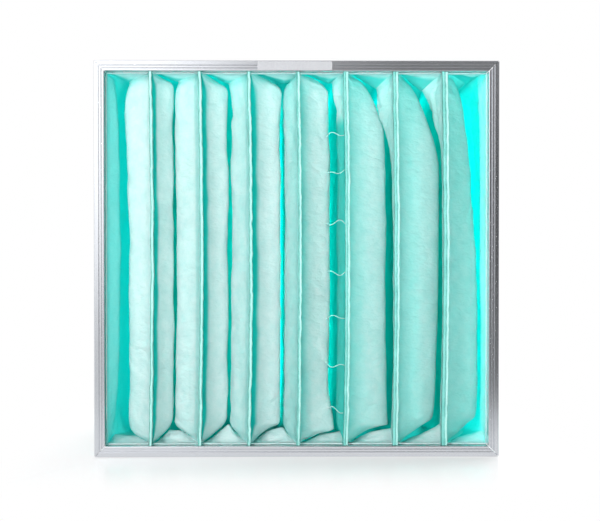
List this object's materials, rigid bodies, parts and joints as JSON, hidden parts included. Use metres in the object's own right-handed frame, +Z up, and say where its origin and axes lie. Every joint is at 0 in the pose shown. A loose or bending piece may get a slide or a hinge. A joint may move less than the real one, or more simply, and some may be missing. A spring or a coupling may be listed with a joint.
{
  "type": "bag air filter",
  "caption": "Bag air filter: a square galvanised header frame holding soft tapered pockets of mint green media side by side, open at the front.",
  "frame": {"origin": "middle of the underside of the bottom rail, where the filter stands", "axes": "+X to the right as seen from the air inlet, +Y along the air flow into the pockets, +Z up"},
  "size_m": [0.592, 0.5002, 0.579],
  "materials": {
    "galvanised_steel": "galvanised sheet with fine lengthwise rolling streaks",
    "strip_steel": "plain galvanised strip",
    "filter_media": "soft mint green nonwoven, matt",
    "hem_fabric": "folded pale mint nonwoven, matt",
    "label_paper": "blank white paper"
  },
  "bodies": {
    "root": {"rail_bottom": "galvanised_steel", "rail_top": "galvanised_steel", "rail_left": "galvanised_steel", "rail_right": "galvanised_steel", "corner_key_bottom_left": "strip_steel", "corner_key_bottom_right": "strip_steel", "corner_key_top_left": "strip_steel", "corner_key_top_right": "strip_steel", "divider_strip_1": "strip_steel", "divider_hem_1": "hem_fabric", "divider_strip_2": "strip_steel", "divider_hem_2": "hem_fabric", "divider_strip_3": "strip_steel", "divider_hem_3": "hem_fabric", "divider_strip_4": "strip_steel", "divider_hem_4": "hem_fabric", "divider_strip_5": "strip_steel", "divider_hem_5": "hem_fabric", "divider_strip_6": "strip_steel", "divider_hem_6": "hem_fabric", "divider_strip_7": "strip_steel", "divider_hem_7": "hem_fabric", "pocket_1": "filter_media", "pocket_2": "filter_media", "pocket_3": "filter_media", "pocket_4": "filter_media", "pocket_5": "filter_media", "pocket_6": "filter_media", "pocket_7": "filter_media", "pocket_8": "filter_media", "label": "label_paper"}
  },
  "joints": []
}
